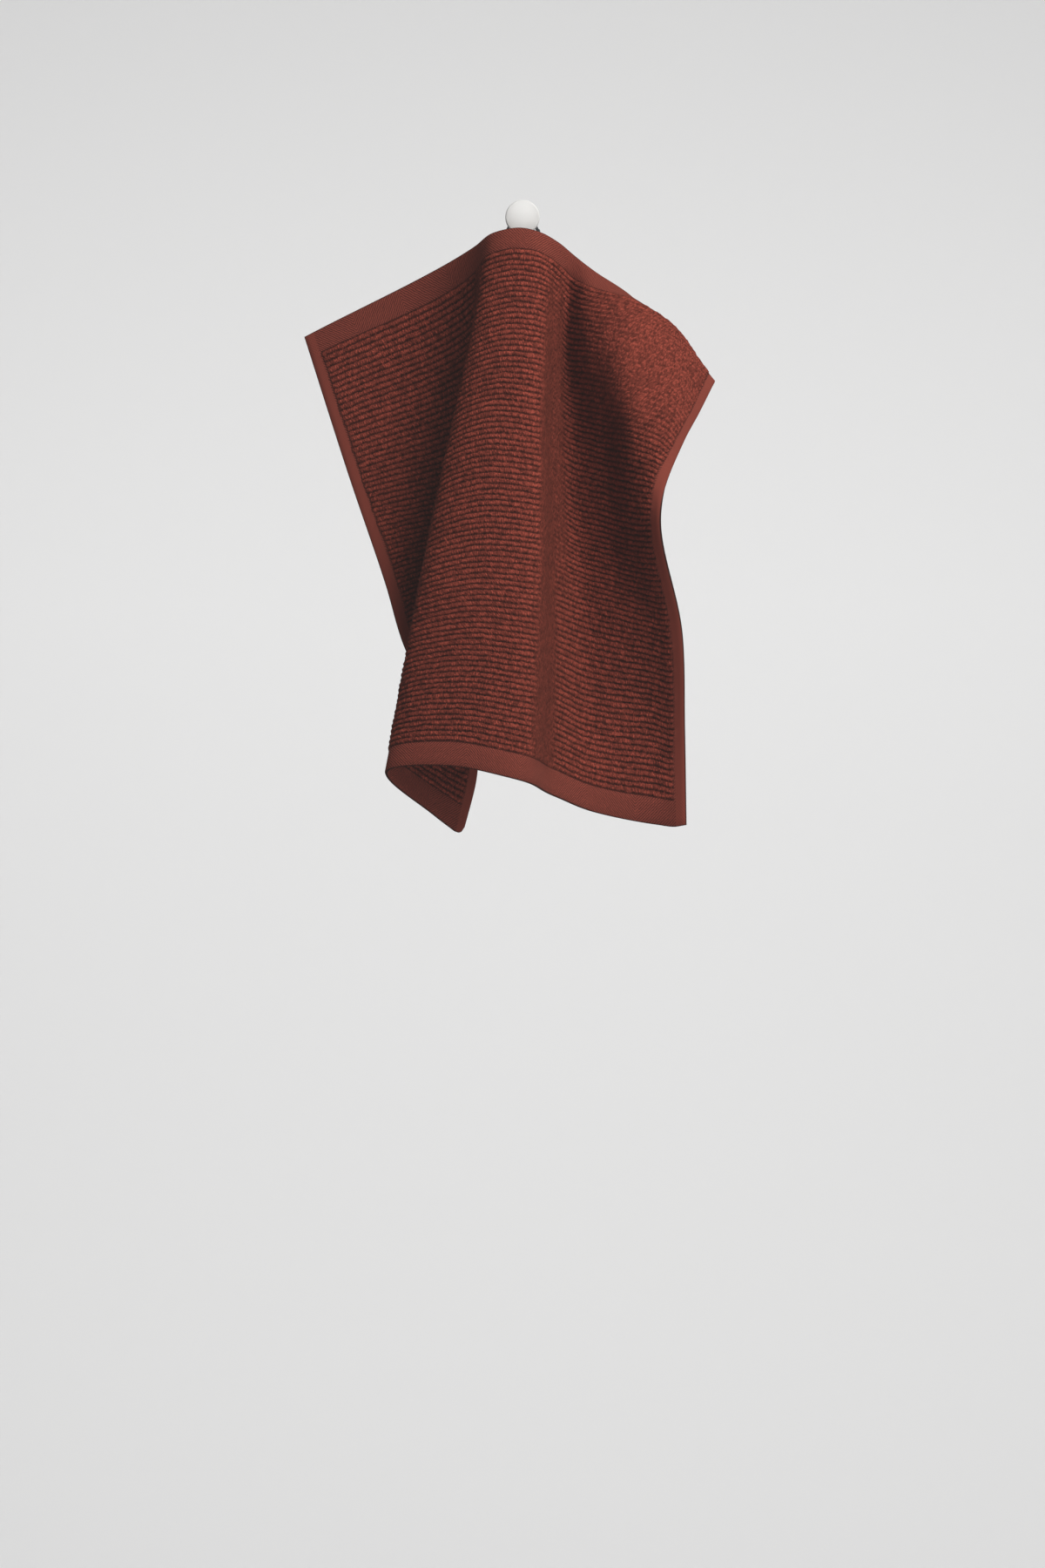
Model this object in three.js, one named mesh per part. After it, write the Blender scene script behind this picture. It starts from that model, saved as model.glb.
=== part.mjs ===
import * as THREE from 'three';
import { mergeGeometries, mergeVertices } from 'three/addons/utils/BufferGeometryUtils.js';

// A ribbed cotton terry washcloth that hangs by the loop at the middle of its top hem from a
// round white wall hook. Millimetres, +Z up. The origin is the middle of the hook's foot, on the
// wall: the wall is the plane y = 0, and hook and cloth stand out from it toward -Y.

// Driving dimensions.

const CLOTH_HEIGHT = 300;        // finished square, top edge to bottom edge
const RIB_COUNT = 90;            // terry ribs between the top hem and the bottom hem
const TOP_HEM = 12;              // flat woven hem along the top
const BOTTOM_HEM = 14;           // and the deeper one along the bottom
const HEM_SHOULDER = 0.6;        // the slope from a hem up to the first rib
const SIDE_HEM = 6;              // narrow folded hems down both sides
const RIB_END = 1.2;             // the slope from a side hem up to the ends of the ribs
const HEM_FACE = 0.9;            // half the thickness of a hem
const GROOVE_FACE = 0.6;         // front of the ground cloth in a groove, from the middle
const RIB_FACE = 1.7;            // top of a rib, from the middle of the cloth
const BACK_FACE = 1.1;           // back of the terry, from the middle of the cloth
const BACK_ROWS = 22;            // rows of facets down the back

const CORD_RADIUS = 0.8;         // the hanging loop's cord
const CORD_SIDES = 8;
const CORD_STEPS = 44;
const CORD_HALF_GAP = 8.6;       // each leg of the loop, from the middle of the hem
const CORD_OVER_NECK = 26.4;     // where the loop lies on the neck, out from the wall
const CORD_TUCK = 9;             // how far down the hem's back the legs are sewn
const LEG_GAP = 0.6;             // legs to the hem's back, which is hollow between its facets
const SEARCH_STEP = 0.25;        // steps along the hem in which the place of a leg is found
const CONTACT_GAP = 0.3;         // between pieces that touch

const DISC_RADIUS = 9.2;         // the hook's round face
const DISC_FRONT = 37;           // its face, out from the wall
const DISC_THICKNESS = 4;
const DISC_BEVEL = 0.8;
const BEVEL_MIDDLE = 0.3;        // a bevel's middle from its two faces, as a share of the bevel
const NECK_RADIUS = 4;
const FOOT_RADIUS = 8;
const FOOT_THICKNESS = 4;
const HOOK_SIDES = 40;

// The fold lines of the hanging cloth, from its left edge to its right edge. Each has a row for
// every height where its place is fixed: how far down the cloth, and from the middle of the hook's
// foot how far right, out from the wall, and up. steps is the number of facets to the next line
// that has any.
//                       down right   out    up
const FOLD_LINES = [
  { name: 'left edge', steps: 3, rows: [
                        [0,    -119,    2,   -60],
                        [80,    -94,   22,  -137],
                        [150,   -73,   45,  -198],
                        [190,   -62,   55,  -233],
                        [260,   -24,   56,  -291],
                        [300,   -32,   58,  -332]] },
  { name: 'left valley', steps: 3, rows: [
                        [0,     -25,   33,   -15],
                        [50,    -24,   35,   -74],
                        [100,   -26,   38,  -134],
                        [200,   -33,   47,  -221],
                        [260,   -39,   66,  -283],
                        [300,   -46,   70,  -321]] },
  { name: 'left turn', steps: 3, rows: [
                        [0,     -15,   46,   -10],
                        [50,    -24,   60,   -62],
                        [100,   -34,   75,  -112],
                        [200,   -53,   98,  -209],
                        [300, -69.5,  105,  -297]] },
  { name: 'front', steps: 2, rows: [
                        [0,       0,   49,    -8],
                        [50,     -6,   66,   -57],
                        [100,   -14,   83,  -106],
                        [200,   -23,  107,  -203],
                        [300,   -35,  115,  -295]] },
  { name: 'shoulder', steps: 2, rows: [
                        [0,       9,   48,   -10],
                        [50,      7,   66,   -58],
                        [100,     4,   84,  -108],
                        [200,     1,  107,  -205],
                        [300,    -6,  114,  -301]] },
  { name: 'flank', steps: 2, rows: [
                        [0,      18,   43,   -14],
                        [50,     16,   47,   -62],
                        [100,    15,   50,  -110],
                        [200,    18,   58,  -209],
                        [300,    18,   56,  -311]] },
  { name: 'right valley', steps: 2, rows: [
                        [0,      26,   35,   -19],
                        [50,     23,   32,   -68],
                        [100,    26,   30,  -115],
                        [140,    27,   34,  -156],
                        [200,    31,   42,  -213],
                        [250,    35,   38,  -267],
                        [300,    38,   36,  -319]] },
  { name: 'right slope', steps: 2, rows: [
                        [0,      36,   34,   -27],
                        [22,     36,   42,   -47],
                        [50,     36,   45,   -72],
                        [100,    44,   41,  -121],
                        [140,    44,   42,  -161],
                        [200,    50,   43,  -218],
                        [250,    52,   34,  -270],
                        [300,    55,   31,  -323]] },
  { name: 'right ridge', steps: 2, rows: [
                        [0,      58,   30,   -42],
                        [10,     57,   40,   -44],
                        [22,   55.5,   47,   -52],
                        [50,     56,   57,   -79],
                        [100,    60,   63,  -127],
                        [140,    58,   58,  -166],
                        [200,    67,   47,  -222],
                        [250,    70,   33,  -272],
                        [300,    73,   30,  -326]] },
  { name: 'right flap', steps: 0, rows: [
                        [0,      83,   10,   -69],
                        [12,     86,   20,   -63],
                        [26,     85,   32,   -69],
                        [50,     80,   48,   -86],
                        [100,    71,   66,  -132],
                        [140,    67,   69,  -168],
                        [200,    78,   51,  -225],
                        [250,    80,   35,  -275],
                        [300,    82,   32,  -327]] },
  { name: 'right edge', steps: 0, rows: [
                        [0,      92,    3,  -100],
                        [14,    101,    7,   -90],
                        [22,    104,   13,   -86],
                        [32,    102,   22,   -90],
                        [50,     95,   33,  -104],
                        [76,     86,   49,  -121],
                        [134,  72.5,   75,  -164],
                        [200,    85,   54,  -225],
                        [250,    87,   38,  -275],
                        [300,    88,   34,  -326]] },
];
const CURVE_STEPS = 24;          // points worked out between two fold lines in a row of the cloth
const NORMAL_STEP = 0.8;         // spacing of the points that a normal is taken from

// One leg of the loop, from the top edge of the hem to beside the top of the neck: how far from
// the middle, out from the wall, and up. The other leg is its mirror image.
//  aside  out   up
const LEG_ROUTE = [
    [8.6, 40,   -8.6],
    [8.7, 36,   -7.4],
    [7.7, 30,   -5.2],
    [6,   27.5, -0.6],
    [4.2, 26.6,  3],
];

// A smooth curve through values given at uneven stations, read at one place.
function smooth(stations, values, at) {
  const last = stations.length - 1;
  const slope = (i) => {
    const rise = (a, b) => values[b].map((v, k) => (v - values[a][k]) / (stations[b] - stations[a]));
    if (i === 0) return rise(0, 1);
    if (i === last) return rise(last - 1, last);
    const before = rise(i - 1, i);
    const after = rise(i, i + 1);
    const weight = (stations[i] - stations[i - 1]) / (stations[i + 1] - stations[i - 1]);
    return before.map((v, k) => v * (1 - weight) + after[k] * weight);
  };
  let i = 0;
  while (i < last - 1 && at > stations[i + 1]) i += 1;
  const span = stations[i + 1] - stations[i];
  const f = (at - stations[i]) / span;
  const from = slope(i);
  const to = slope(i + 1);
  return values[i].map((v, k) => (2 * f ** 3 - 3 * f ** 2 + 1) * v
    + (f ** 3 - 2 * f ** 2 + f) * span * from[k]
    + (3 * f ** 2 - 2 * f ** 3) * values[i + 1][k]
    + (f ** 3 - f ** 2) * span * to[k]);
}

function runningLength(points) {
  const lengths = [0];
  for (let i = 1; i < points.length; i += 1) {
    const step = Math.hypot(...points[i].map((v, k) => v - points[i - 1][k]));
    lengths.push(lengths[i - 1] + step);
  }
  return lengths;
}

// One weft row of the cloth, at a distance down it: a fine line through all the fold lines, with
// its running length and the length at which it meets each fold line.
function clothRow(down) {
  const knots = FOLD_LINES.map(({ rows }) => smooth(
    rows.map((row) => row[0]),
    rows.map(([, right, out, up]) => [right, -out, up]),
    down,
  ));
  const chord = runningLength(knots);
  const line = [];
  for (let i = 0; i < knots.length - 1; i += 1) {
    for (let step = 0; step < CURVE_STEPS; step += 1) {
      const at = chord[i] + ((chord[i + 1] - chord[i]) * step) / CURVE_STEPS;
      line.push(smooth(chord, knots, at));
    }
  }
  line.push(knots[knots.length - 1]);
  const lengths = runningLength(line);
  return { line, lengths, meets: knots.map((_, i) => lengths[i * CURVE_STEPS]) };
}

function alongRow({ line, lengths }, distance) {
  let i = 0;
  while (i < line.length - 2 && distance > lengths[i + 1]) i += 1;
  const f = (distance - lengths[i]) / (lengths[i + 1] - lengths[i]);
  return new THREE.Vector3(...line[i].map((v, k) => v + (line[i + 1][k] - v) * f));
}

// The distances along a row at which the columns of facets cross it: the side hems, and between
// them equal steps from fold line to fold line.
function columnStops({ lengths, meets }) {
  const width = rowWidth({ lengths });
  const stops = [0, SIDE_HEM];
  let start = SIDE_HEM + RIB_END;
  let pending = FOLD_LINES[0].steps;
  for (let i = 1; i < FOLD_LINES.length; i += 1) {
    const isEdge = i === FOLD_LINES.length - 1;
    if (FOLD_LINES[i].steps > 0 || isEdge) {
      const end = isEdge ? width - SIDE_HEM - RIB_END : meets[i];
      for (let step = 0; step < pending; step += 1) {
        stops.push(start + ((end - start) * step) / pending);
      }
      start = end;
      pending = FOLD_LINES[i].steps;
    }
  }
  stops.push(start, width - SIDE_HEM, width);
  return stops;
}

// A row with its two close neighbours, from which the way the cloth faces is taken.
function clothBand(down) {
  return {
    row: clothRow(down),
    above: clothRow(Math.max(down - NORMAL_STEP, 0)),
    below: clothRow(Math.min(down + NORMAL_STEP, CLOTH_HEIGHT)),
  };
}

function rowWidth({ lengths }) {
  return lengths[lengths.length - 1];
}

// A point of the middle surface moved along the cloth's normal: to the front, or to the back
// where the offset is negative.
function clothPoint({ row, above, below }, distance, offset) {
  const width = rowWidth(row);
  const share = (side) => (distance / width) * rowWidth(side);
  const left = alongRow(row, Math.max(distance - NORMAL_STEP, 0));
  const right = alongRow(row, Math.min(distance + NORMAL_STEP, width));
  const fall = alongRow(below, share(below)).sub(alongRow(above, share(above)));
  const front = fall.cross(right.sub(left)).normalize();
  return alongRow(row, distance).addScaledVector(front, offset);
}

// A band of triangles between two lines of points, each point with its place along the line.
function strip(pointsA, placesA, pointsB, placesB) {
  const corners = [];
  let a = 0;
  let b = 0;
  while (a < pointsA.length - 1 || b < pointsB.length - 1) {
    const stepA = b === pointsB.length - 1
      || (a < pointsA.length - 1 && placesA[a + 1] <= placesB[b + 1]);
    if (stepA) {
      corners.push(pointsA[a], pointsA[a + 1], pointsB[b]);
      a += 1;
    } else {
      corners.push(pointsA[a], pointsB[b + 1], pointsB[b]);
      b += 1;
    }
  }
  return new THREE.BufferGeometry().setFromPoints(corners);
}

// One face of the cloth from its rows of points.
function face(rows, flipped) {
  const columns = rows[0].length - 1;
  const sheet = new THREE.PlaneGeometry(1, 1, columns, rows.length - 1);
  rows.flat().forEach((point, i) => sheet.attributes.position.setXYZ(i, point.x, point.y, point.z));
  const open = sheet.toNonIndexed();
  const corners = [];
  for (let i = 0; i < open.attributes.position.count; i += 3) {
    const triangle = [0, 1, 2].map((k) => (
      new THREE.Vector3().fromBufferAttribute(open.attributes.position, i + k)));
    corners.push(...(flipped ? triangle.reverse() : triangle));
  }
  return new THREE.BufferGeometry().setFromPoints(corners);
}

function named(name, geometry, color, roughness, metalness) {
  geometry.computeVertexNormals();
  const material = new THREE.MeshStandardMaterial({ color, roughness, metalness });
  const mesh = new THREE.Mesh(geometry, material);
  mesh.name = name;
  return mesh;
}

function buildCloth() {
  const ribsEnd = CLOTH_HEIGHT - BOTTOM_HEM;
  const ribbed = ribsEnd - TOP_HEM;
  const pitch = ribbed / RIB_COUNT;
  const frontRows = [
    { down: 0, out: HEM_FACE },
    { down: TOP_HEM / 2, out: HEM_FACE },
    { down: TOP_HEM - HEM_SHOULDER, out: HEM_FACE },
  ];
  for (let rib = 0; rib < RIB_COUNT; rib += 1) {
    frontRows.push({ down: TOP_HEM + rib * pitch, out: GROOVE_FACE });
    frontRows.push({ down: TOP_HEM + (rib + 0.5) * pitch, out: RIB_FACE });
  }
  frontRows.push(
    { down: ribsEnd, out: GROOVE_FACE },
    { down: ribsEnd + HEM_SHOULDER, out: HEM_FACE },
    { down: CLOTH_HEIGHT, out: HEM_FACE },
  );
  const backRows = [
    { down: 0, out: -HEM_FACE },
    { down: TOP_HEM / 2, out: -HEM_FACE },
    { down: TOP_HEM - HEM_SHOULDER, out: -HEM_FACE },
  ];
  for (let i = 0; i <= BACK_ROWS; i += 1) {
    backRows.push({ down: TOP_HEM + (ribbed * i) / BACK_ROWS, out: -BACK_FACE });
  }
  backRows.push(
    { down: ribsEnd + HEM_SHOULDER, out: -HEM_FACE },
    { down: CLOTH_HEIGHT, out: -HEM_FACE },
  );
  // The side hems, two columns at each edge, keep the hem's own thickness.
  const points = ({ down, out }) => {
    const band = clothBand(down);
    const stops = columnStops(band.row);
    return stops.map((stop, column) => {
      const inSideHem = column < 2 || column > stops.length - 3;
      return clothPoint(band, stop, inSideHem ? Math.sign(out) * HEM_FACE : out);
    });
  };
  const front = frontRows.map(points);
  const back = backRows.map(points);
  const frontDowns = frontRows.map(({ down }) => down);
  const backDowns = backRows.map(({ down }) => down);
  const last = front[0].length - 1;
  const bottom = front.length - 1;
  const columnPlaces = front[0].map((_, i) => i);
  const edge = (rows, column) => rows.map((row) => row[column]);
  const solid = mergeVertices(mergeGeometries([
    face(front, false),
    face(back, true),
    strip(edge(back, 0), backDowns, edge(front, 0), frontDowns),
    strip(edge(front, last), frontDowns, edge(back, last), backDowns),
    strip(front[0], columnPlaces, back[0], columnPlaces),
    strip(back[back.length - 1], columnPlaces, front[bottom], columnPlaces),
  ]));
  return named('cloth', solid, 0x6b382f, 0.95, 0);
}

// A cord sewn by both ends to the back of the top hem. Its legs come up behind the hem, pass
// under the rim of the hook's disc and meet over the neck.
function buildLoop() {
  const behind = HEM_FACE + LEG_GAP + CORD_RADIUS;
  const legAt = (side, down) => {
    const band = clothBand(down);
    let nearest = { miss: Infinity };
    for (let distance = 0; distance <= rowWidth(band.row); distance += SEARCH_STEP) {
      const point = clothPoint(band, distance, -behind);
      const miss = Math.abs(point.x - side * CORD_HALF_GAP);
      if (miss < nearest.miss) nearest = { miss, point };
    }
    return nearest.point;
  };
  const leg = (side) => [
    legAt(side, CORD_TUCK),
    legAt(side, CORD_TUCK / 2),
    legAt(side, 0),
    ...LEG_ROUTE.map(([aside, out, up]) => new THREE.Vector3(side * aside, -out, up)),
  ];
  const top = NECK_RADIUS + CONTACT_GAP + CORD_RADIUS;
  const route = new THREE.CatmullRomCurve3(
    [...leg(-1), new THREE.Vector3(0, -CORD_OVER_NECK, top), ...leg(1).reverse()],
    false,
    'centripetal',
  );
  const section = new THREE.Shape(Array.from({ length: CORD_SIDES }, (_, i) => {
    const angle = (2 * Math.PI * i) / CORD_SIDES;
    return new THREE.Vector2(CORD_RADIUS * Math.cos(angle), CORD_RADIUS * Math.sin(angle));
  }));
  const cord = new THREE.ExtrudeGeometry(section, { steps: CORD_STEPS, extrudePath: route });
  return named('hanging_loop', cord, 0x1d1d24, 0.85, 0);
}

// Turned about its own axis, which stands out from the wall: foot, neck and disc in one piece.
function buildHook() {
  const discBack = DISC_FRONT - DISC_THICKNESS;
  const profile = [
    [0, DISC_FRONT],
    [DISC_RADIUS - DISC_BEVEL, DISC_FRONT],
    [DISC_RADIUS - DISC_BEVEL * BEVEL_MIDDLE, DISC_FRONT - DISC_BEVEL * BEVEL_MIDDLE],
    [DISC_RADIUS, DISC_FRONT - DISC_BEVEL],
    [DISC_RADIUS, discBack + DISC_BEVEL],
    [DISC_RADIUS - DISC_BEVEL, discBack],
    [NECK_RADIUS + DISC_BEVEL, discBack],
    [NECK_RADIUS, discBack - DISC_BEVEL],
    [NECK_RADIUS, FOOT_THICKNESS + DISC_BEVEL],
    [NECK_RADIUS + DISC_BEVEL, FOOT_THICKNESS],
    [FOOT_RADIUS - DISC_BEVEL, FOOT_THICKNESS],
    [FOOT_RADIUS, FOOT_THICKNESS - DISC_BEVEL],
    [FOOT_RADIUS, 0],
    [0, 0],
  ].map(([radius, out]) => new THREE.Vector2(radius, -out));
  return named('wall_hook', new THREE.LatheGeometry(profile, HOOK_SIDES), 0xe9e9e7, 0.35, 0);
}

const washcloth = new THREE.Group();
washcloth.add(buildCloth(), buildLoop(), buildHook());

export default washcloth;
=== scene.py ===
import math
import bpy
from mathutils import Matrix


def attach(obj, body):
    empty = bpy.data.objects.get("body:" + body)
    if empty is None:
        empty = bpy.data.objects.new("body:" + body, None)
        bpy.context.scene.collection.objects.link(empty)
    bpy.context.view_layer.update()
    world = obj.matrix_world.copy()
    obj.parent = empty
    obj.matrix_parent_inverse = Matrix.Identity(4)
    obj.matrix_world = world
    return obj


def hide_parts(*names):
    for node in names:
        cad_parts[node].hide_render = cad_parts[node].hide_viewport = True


bl_info = {
    "name": "Ribbed washcloth on a wall hook",
    "version": (1, 0, 0),
    "blender": (4, 5, 0),
    "location": "3D View > Sidebar > Washcloth",
    "description": "A ribbed cotton terry washcloth that hangs by its loop from a round white hook",
    "category": "Add Mesh",
}

import bmesh
import bpy
import numpy as np
from bpy.props import FloatProperty, FloatVectorProperty, IntProperty, PointerProperty
from bpy.types import Operator, Panel, PropertyGroup
from mathutils import Vector

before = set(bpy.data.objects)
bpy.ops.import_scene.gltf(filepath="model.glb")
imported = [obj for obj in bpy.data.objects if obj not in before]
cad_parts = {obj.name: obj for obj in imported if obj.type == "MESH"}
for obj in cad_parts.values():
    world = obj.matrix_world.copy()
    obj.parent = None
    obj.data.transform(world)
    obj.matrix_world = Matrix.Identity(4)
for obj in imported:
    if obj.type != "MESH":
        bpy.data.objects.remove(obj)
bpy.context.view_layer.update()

MM = 0.001

# The fold lines of the hanging cloth, from its left edge to its right edge, in millimetres. Each
# row fixes a place of one line: how far down the cloth, and from the middle of the hook's foot how
# far right, out from the wall, and up.
#        down right   out    up
FOLD_LINES = (
    ("left edge", (
        (0,    -119,    2,   -60),
        (80,    -94,   22,  -137),
        (150,   -73,   45,  -198),
        (190,   -62,   55,  -233),
        (260,   -24,   56,  -291),
        (300,   -32,   58,  -332))),
    ("left valley", (
        (0,     -25,   33,   -15),
        (50,    -24,   35,   -74),
        (100,   -26,   38,  -134),
        (200,   -33,   47,  -221),
        (260,   -39,   66,  -283),
        (300,   -46,   70,  -321))),
    ("left turn", (
        (0,     -15,   46,   -10),
        (50,    -24,   60,   -62),
        (100,   -34,   75,  -112),
        (200,   -53,   98,  -209),
        (300, -69.5,  105,  -297))),
    ("front", (
        (0,       0,   49,    -8),
        (50,     -6,   66,   -57),
        (100,   -14,   83,  -106),
        (200,   -23,  107,  -203),
        (300,   -35,  115,  -295))),
    ("shoulder", (
        (0,       9,   48,   -10),
        (50,      7,   66,   -58),
        (100,     4,   84,  -108),
        (200,     1,  107,  -205),
        (300,    -6,  114,  -301))),
    ("flank", (
        (0,      18,   43,   -14),
        (50,     16,   47,   -62),
        (100,    15,   50,  -110),
        (200,    18,   58,  -209),
        (300,    18,   56,  -311))),
    ("right valley", (
        (0,      26,   35,   -19),
        (50,     23,   32,   -68),
        (100,    26,   30,  -115),
        (140,    27,   34,  -156),
        (200,    31,   42,  -213),
        (250,    35,   38,  -267),
        (300,    38,   36,  -319))),
    ("right slope", (
        (0,      36,   34,   -27),
        (22,     36,   42,   -47),
        (50,     36,   45,   -72),
        (100,    44,   41,  -121),
        (140,    44,   42,  -161),
        (200,    50,   43,  -218),
        (250,    52,   34,  -270),
        (300,    55,   31,  -323))),
    ("right ridge", (
        (0,      58,   30,   -42),
        (10,     57,   40,   -44),
        (22,   55.5,   47,   -52),
        (50,     56,   57,   -79),
        (100,    60,   63,  -127),
        (140,    58,   58,  -166),
        (200,    67,   47,  -222),
        (250,    70,   33,  -272),
        (300,    73,   30,  -326))),
    ("right flap", (
        (0,      83,   10,   -69),
        (12,     86,   20,   -63),
        (26,     85,   32,   -69),
        (50,     80,   48,   -86),
        (100,    71,   66,  -132),
        (140,    67,   69,  -168),
        (200,    78,   51,  -225),
        (250,    80,   35,  -275),
        (300,    82,   32,  -327))),
    ("right edge", (
        (0,      92,    3,  -100),
        (14,    101,    7,   -90),
        (22,    104,   13,   -86),
        (32,    102,   22,   -90),
        (50,     95,   33,  -104),
        (76,     86,   49,  -121),
        (134,  72.5,   75,  -164),
        (200,    85,   54,  -225),
        (250,    87,   38,  -275),
        (300,    88,   34,  -326))),
)
CURVE_STEPS = 60         # points worked out between two fold lines in a row of the cloth
CORNER_RADIUS = 6 * MM   # of the worn lower left corner

# Across one rib: how far through its pitch, and how high between the groove and the top.
RIB_PROFILE = ((0.0, 0.0), (0.5, 1.0))
HEM_ROWS = (0.0, 0.05, 0.35, 0.65, 0.95)   # rows of a hem, in shares of its depth from the edge

# Columns of the cloth, in millimetres from each side edge. They crowd together at the side hems,
# where the ribs stop, and are even from FIRST_EVEN on.
EDGE_COLUMNS = (0.0, 0.5, 3.0, 6.0, 6.7, 7.4)
FIRST_EVEN = 8.3

# The unevenness of the pile, in millimetres.
SLOW_BENDS = 0.17        # the ribs wander up and down in long bends
QUICK_BENDS = 0.08       # and in short ones
LEANING = 0.22           # loops that lean over a groove fill it by this much
TALLEST_LEAN = 2.5       # and at most by this many times as much
LOOP_RISE = 0.15         # unevenness of the tops of the ribs
RAGGED_END = 1.1         # a rib stops up to this far before its hem
END_SLOPE = 0.7          # length of the slope at a rib's end
PILE_SEED = 7

# Ribs close up where the cloth faces sideways, as on the flank of a fold, and there the pile's
# colour is darkened as painted shade.
CLOSES_FROM = 0.84       # how far sideways, from 0 to 1, a rib faces where it starts to close
CLOSES_OVER = 0.12
CLOSED_FILL = 0.55       # how far its grooves fill up, in millimetres

# Near the right corner of the top hem, where the light falls head-on, the grooves fill up and
# their painted shade is left out until the ribs hardly show: the middle of that patch from the
# left edge and from the top one, and its reach, in millimetres.
FLAT_LIT_ACROSS = 262
FLAT_LIT_DOWN = 40
FLAT_LIT_REACH = 48
FLAT_LIT_SLANT = 0.45      # how far it moves right for each millimetre down
FLAT_LIT_FILL = 0.85       # how far its grooves fill up, in millimetres
FLAT_LIT_SHOWS = 0.75      # how much of it hides the grooves' painted shade

# Rims of the hems, in millimetres, and their thickness as a share of the hem's.
SIDE_RIM = 0.5
END_RIM = 0.6
RIM_SHARE = 0.55
BACK_SHARE = 0.94        # height of the ribs on the back, as a share of those on the front

# Patterns of the cloth and of the cord, in millimetres.
PUSH_SCALE = 0.8         # how many times in a millimetre the push on the loops changes
PUSH = 1.1               # from the farthest push one way to the farthest the other way
GROOVE_SHADE = 1.1       # from the bottom of a groove, darkest with painted shade, to the rib's full colour
LEAN_SCALE = 0.55        # how many times in a millimetre the leaning changes
LOOP_WIDTH = 0.9
LOOP_LENGTH = 1.8
YARN_SCALE = 2.2         # yarn ends in a millimetre
TWILL_PITCH = 1.5
TWILL_RUN = 30.0         # the twill changes direction after this much
SIDE_WEAVE = 0.9         # pitch of the side hems' weave
CORNER_WEAVE = 1.6       # and of its coarser weave where the hems cross
CLOTH_RELIEF = 0.35
PLAIT_PITCH = 0.8
CORD_RELIEF = 0.2
PAINT_RELIEF = 0.1

# The route of the hanging loop's cord, in millimetres.
LEG_GAP = 0.6            # from the back of the hem to a leg
LEG_HALF_GAP = 8.6       # from the middle to each leg
LEG_PLACES = (0.0, 4.5, 9.0)   # down the hem's back, where each leg is held
SEARCH = (0.4, 0.66, 300)      # first and last share of the hem, and places, searched for a leg
CORD_GAP = 0.3           # between the cord and the neck
CORD_OVER_NECK = 26.4    # where the cord lies on the neck, out from the wall
PATH_STEPS = 10          # between two points of the route
CORD_SIDES = 14

HOOK_SIDES = 96
HOOK_BEVEL = 0.7         # of the hook's corners, in millimetres
CORNER_ANGLE = 1.2       # a sharper edge than this, in radians, is a corner
SAME_PLACE = 0.01        # points nearer than this, in millimetres, are one

# The studio, in metres. The floor runs level behind and before the cloth and sweeps up far
# behind it.
FLOOR_LEVEL = -1.4
FLOOR_HALF = 9.0         # half the width of the floor, and its length before the cloth
SWEEP_START = 2.6        # where the floor starts to rise
SWEEP_RADIUS = 1.4
SWEEP_STEPS = 12
BACKDROP_TOP = 6.0
LAMP_TARGET = (0.0, -0.05, -0.16)
DAYLIGHT = (0.97, 0.985, 1.0)
WARM = (1.0, 0.98, 0.96)
WHITE = (1.0, 1.0, 1.0)
SPOT_PLACE = (0.0, -0.9, 0.25)
SPOT_TARGET = (0.0, -0.037, 0.002)
SPOT_WIDTH = 1.3         # degrees
AIR_LIGHT = 0.13
LIFTED_BLACK = -0.0115
CAMERA_PLACE = (0.0, -1.9, -0.304)
CAMERA_LENS = 79.8
FILM_WIDTH = 36.0


def linear(text):
    """An sRGB hex colour as a linear colour with full alpha."""
    parts = [int(text[i : i + 2], 16) / 255 for i in (1, 3, 5)]
    curve = [p / 12.92 if p <= 0.04045 else ((p + 0.055) / 1.055) ** 2.4 for p in parts]
    return (*curve, 1.0)


class ClothSizes(PropertyGroup):
    """Sizes of the washcloth."""

    side: FloatProperty(name="Side", description="Length of each side of the square cloth",
                        default=0.3, unit="LENGTH")
    rib_count: IntProperty(name="Ribs", description="Terry ribs between the top and bottom hems",
                           default=90, min=10, max=200)
    top_hem: FloatProperty(name="Top hem", description="Depth of the hem along the top",
                           default=0.012, unit="LENGTH")
    bottom_hem: FloatProperty(name="Bottom hem", description="Depth of the hem along the bottom",
                              default=0.014, unit="LENGTH")
    side_hem: FloatProperty(name="Side hem", description="Width of the hems down the sides",
                            default=0.006, unit="LENGTH")
    hem_face: FloatProperty(name="Hem half thickness", description="Half the thickness of a hem",
                            default=0.0009, unit="LENGTH")
    groove_face: FloatProperty(name="Groove", description="Groove to the middle of the cloth",
                               default=0.00055, unit="LENGTH")
    rib_face: FloatProperty(name="Rib", description="Top of a rib to the middle of the cloth",
                            default=0.0017, unit="LENGTH")
    columns: IntProperty(name="Columns", description="Faces across the width of the cloth",
                         default=256, min=20, max=400)


class HookSizes(PropertyGroup):
    """Sizes of the hook and of the loop over it."""

    disc_radius: FloatProperty(name="Disc radius", description="Radius of the hook's round face",
                               default=0.0092, unit="LENGTH")
    disc_front: FloatProperty(name="Reach", description="The face's distance from the wall",
                              default=0.037, unit="LENGTH")
    disc_thickness: FloatProperty(name="Disc thickness", description="Thickness of the disc",
                                  default=0.004, unit="LENGTH")
    neck_radius: FloatProperty(name="Neck radius", description="Radius of the hook's neck",
                               default=0.004, unit="LENGTH")
    foot_radius: FloatProperty(name="Foot radius", description="Radius of the foot on the wall",
                               default=0.008, unit="LENGTH")
    foot_thickness: FloatProperty(name="Foot thickness", description="Thickness of the foot",
                                  default=0.004, unit="LENGTH")
    cord_radius: FloatProperty(name="Cord radius", description="Radius of the loop's cord",
                               default=0.0008, unit="LENGTH")


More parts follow.
